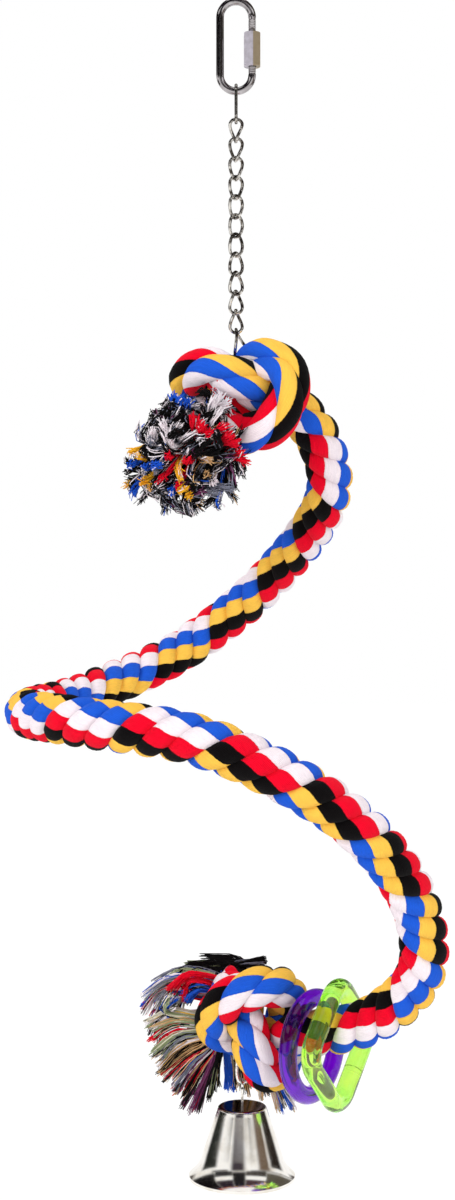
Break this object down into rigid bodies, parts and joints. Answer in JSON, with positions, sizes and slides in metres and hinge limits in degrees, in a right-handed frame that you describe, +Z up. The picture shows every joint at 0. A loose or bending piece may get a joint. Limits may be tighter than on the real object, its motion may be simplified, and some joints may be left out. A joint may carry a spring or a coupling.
{
  "type": "hanging rope perch",
  "caption": "Hanging bird perch: a quick link and twisted chain carry a thick wired cotton rope in an open spiral, knotted and frayed at both ends, with plastic links and a bell below.",
  "frame": {"origin": "where the cage bar bears inside the top of the quick link, on the line of the chain", "axes": "+Z up along the hanging chain, +X to the right and -Y to the front as the perch is usually seen"},
  "size_m": [0.1924, 0.2063, 0.5269],
  "materials": {
    "quick_link_steel": "polished",
    "sleeve_steel": "satin",
    "chain_steel": "polished",
    "core_wire_steel": "satin",
    "cotton_rope": "matte",
    "cotton_yarn": "matte",
    "purple_plastic": "gloss",
    "green_plastic": "gloss",
    "hook_wire_steel": "polished",
    "bell_nickel": "polished",
    "clapper_steel": "satin"
  },
  "bodies": {
    "hanger": {"quick_link_body": "quick_link_steel"},
    "sleeve": {"quick_link_sleeve": "sleeve_steel"},
    "top_link": {"top_link": "chain_steel"},
    "chain_link_01": {"chain_link_01": "chain_steel"},
    "chain_link_02": {"chain_link_02": "chain_steel"},
    "chain_link_03": {"chain_link_03": "chain_steel"},
    "chain_link_04": {"chain_link_04": "chain_steel"},
    "chain_link_05": {"chain_link_05": "chain_steel"},
    "chain_link_06": {"chain_link_06": "chain_steel"},
    "chain_link_07": {"chain_link_07": "chain_steel"},
    "chain_link_08": {"chain_link_08": "chain_steel"},
    "chain_link_09": {"chain_link_09": "chain_steel"},
    "chain_link_10": {"chain_link_10": "chain_steel"},
    "chain_link_11": {"chain_link_11": "chain_steel"},
    "perch": {"knot_link": "chain_steel", "core_wire": "core_wire_steel", "spiral_rope": "cotton_rope", "top_knot": "cotton_rope", "bottom_knot": "cotton_rope", "top_tassel": "cotton_yarn", "bottom_tassel": "cotton_yarn", "bell_hook": "hook_wire_steel"},
    "round_link": {"round_link": "purple_plastic"},
    "square_link": {"square_link": "green_plastic"},
    "bell": {"bell_shank": "hook_wire_steel", "bell_shell": "bell_nickel"},
    "clapper": {"clapper": "clapper_steel"}
  },
  "joints": [
    {"name": "sleeve_slide", "type": "slide", "parent": "hanger", "child": "sleeve", "axis": [0, 0, 1], "range_m": [0, 0.0068]},
    {"name": "top_link_swing", "type": "hinge", "parent": "hanger", "child": "top_link", "pos_m": [0, 0, -0.0379], "axis": [1, 0, 0], "range_deg": [-60, 60]},
    {"name": "chain_link_01_swing", "type": "hinge", "parent": "top_link", "child": "chain_link_01", "pos_m": [0, 0, -0.05175], "axis": [0, 1, 0], "range_deg": [-45, 45]},
    {"name": "chain_link_02_swing", "type": "hinge", "parent": "chain_link_01", "child": "chain_link_02", "pos_m": [0, 0, -0.05865], "axis": [0.9903, 0.1392, 0], "range_deg": [-45, 45]},
    {"name": "chain_link_03_swing", "type": "hinge", "parent": "chain_link_02", "child": "chain_link_03", "pos_m": [0, 0, -0.06865], "axis": [-0.2756, 0.9613, 0], "range_deg": [-45, 45]},
    {"name": "chain_link_04_swing", "type": "hinge", "parent": "chain_link_03", "child": "chain_link_04", "pos_m": [0, 0, -0.07555], "axis": [-0.9135, -0.4067, 0], "range_deg": [-45, 45]},
    {"name": "chain_link_05_swing", "type": "hinge", "parent": "chain_link_04", "child": "chain_link_05", "pos_m": [0, 0, -0.08555], "axis": [0.5299, -0.848, 0], "range_deg": [-45, 45]},
    {"name": "chain_link_06_swing", "type": "hinge", "parent": "chain_link_05", "child": "chain_link_06", "pos_m": [0, 0, -0.09245], "axis": [0.766, 0.6428, 0], "range_deg": [-45, 45]},
    {"name": "chain_link_07_swing", "type": "hinge", "parent": "chain_link_06", "child": "chain_link_07", "pos_m": [0, 0, -0.10245], "axis": [-0.7431, 0.6691, 0], "range_deg": [-45, 45]},
    {"name": "chain_link_08_swing", "type": "hinge", "parent": "chain_link_07", "child": "chain_link_08", "pos_m": [0, 0, -0.10935], "axis": [-0.5592, -0.829, 0], "range_deg": [-45, 45]},
    {"name": "chain_link_09_swing", "type": "hinge", "parent": "chain_link_08", "child": "chain_link_09", "pos_m": [0, 0, -0.11935], "axis": [0.8988, -0.4384, 0], "range_deg": [-45, 45]},
    {"name": "chain_link_10_swing", "type": "hinge", "parent": "chain_link_09", "child": "chain_link_10", "pos_m": [0, 0, -0.12625], "axis": [0.309, 0.9511, 0], "range_deg": [-45, 45]},
    {"name": "chain_link_11_swing", "type": "hinge", "parent": "chain_link_10", "child": "chain_link_11", "pos_m": [0, 0, -0.13625], "axis": [-0.9848, 0.1736, 0], "range_deg": [-45, 45]},
    {"name": "perch_swing", "type": "hinge", "parent": "chain_link_11", "child": "perch", "pos_m": [0, 0, -0.14315], "axis": [0.0349, 0.9994, 0], "range_deg": [-40, 40]},
    {"name": "bell_swing", "type": "hinge", "parent": "perch", "child": "bell", "pos_m": [0.0028, 0.00686, -0.48114], "axis": [1, 0, 0], "range_deg": [-35, 35]},
    {"name": "clapper_swing", "type": "hinge", "parent": "bell", "child": "clapper", "pos_m": [0.0028, 0.00686, -0.49674], "axis": [0, 1, 0], "range_deg": [-35, 35]},
    {"name": "round_link_swing", "type": "hinge", "parent": "perch", "child": "round_link", "pos_m": [0.03417, -0.00087, -0.45628], "axis": [-0.8404, 0.542, 0], "range_deg": [-45, 45]},
    {"name": "square_link_swing", "type": "hinge", "parent": "perch", "child": "square_link", "pos_m": [0.04517, -0.00744, -0.45344], "axis": [-0.8586, 0.5127, 0], "range_deg": [-45, 45]}
  ]
}
